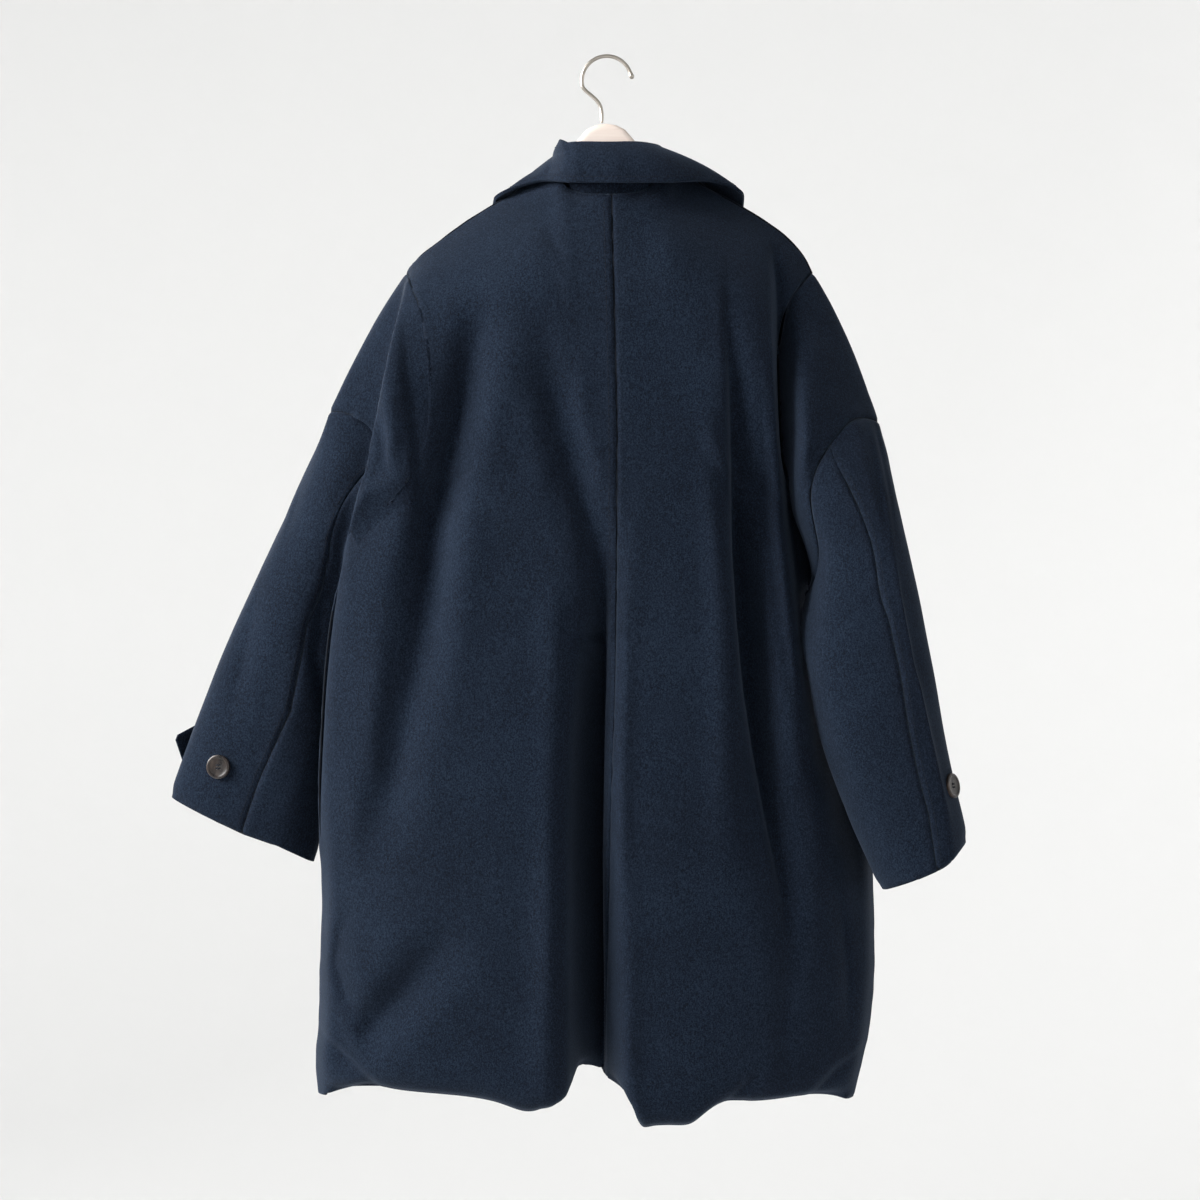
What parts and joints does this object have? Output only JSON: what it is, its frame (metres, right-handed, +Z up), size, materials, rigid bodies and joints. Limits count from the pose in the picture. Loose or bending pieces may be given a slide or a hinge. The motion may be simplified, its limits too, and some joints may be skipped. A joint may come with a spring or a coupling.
{
  "type": "down coat on a hanger",
  "caption": "Oversized knee-length navy down coat with a wide turned-down collar, dropped sleeves, cuff tabs and a hidden closing, hung by a wooden hanger with a wire hook.",
  "frame": {"origin": "inside top of the hanger's hook, where it rests on a rail", "axes": "+Z up, -Y the way the coat's back faces, +X the wearer's right"},
  "size_m": [0.8222, 0.2108, 1.0903],
  "materials": {
    "navy_wool": "matt napped wool-look cloth over thin down padding",
    "dark_button": "polished dark horn-look resin",
    "pale_beech": "clear satin lacquer",
    "satin_nickel": "satin nickel plate"
  },
  "bodies": {
    "root": {"back_left": "navy_wool", "back_right": "navy_wool", "front_left": "navy_wool", "front_right": "navy_wool", "sleeve_cap_left": "navy_wool", "sleeve_cap_right": "navy_wool", "sleeve_top_left": "navy_wool", "sleeve_top_right": "navy_wool", "sleeve_under_left": "navy_wool", "sleeve_under_right": "navy_wool", "collar_stand": "navy_wool", "collar_fall": "navy_wool", "cuff_tab_left": "navy_wool", "cuff_tab_right": "navy_wool", "cuff_button_left": "dark_button", "cuff_button_right": "dark_button", "tab_button_left": "dark_button", "tab_button_right": "dark_button", "hanger_wood": "pale_beech", "hanger_hook": "satin_nickel"}
  },
  "joints": []
}
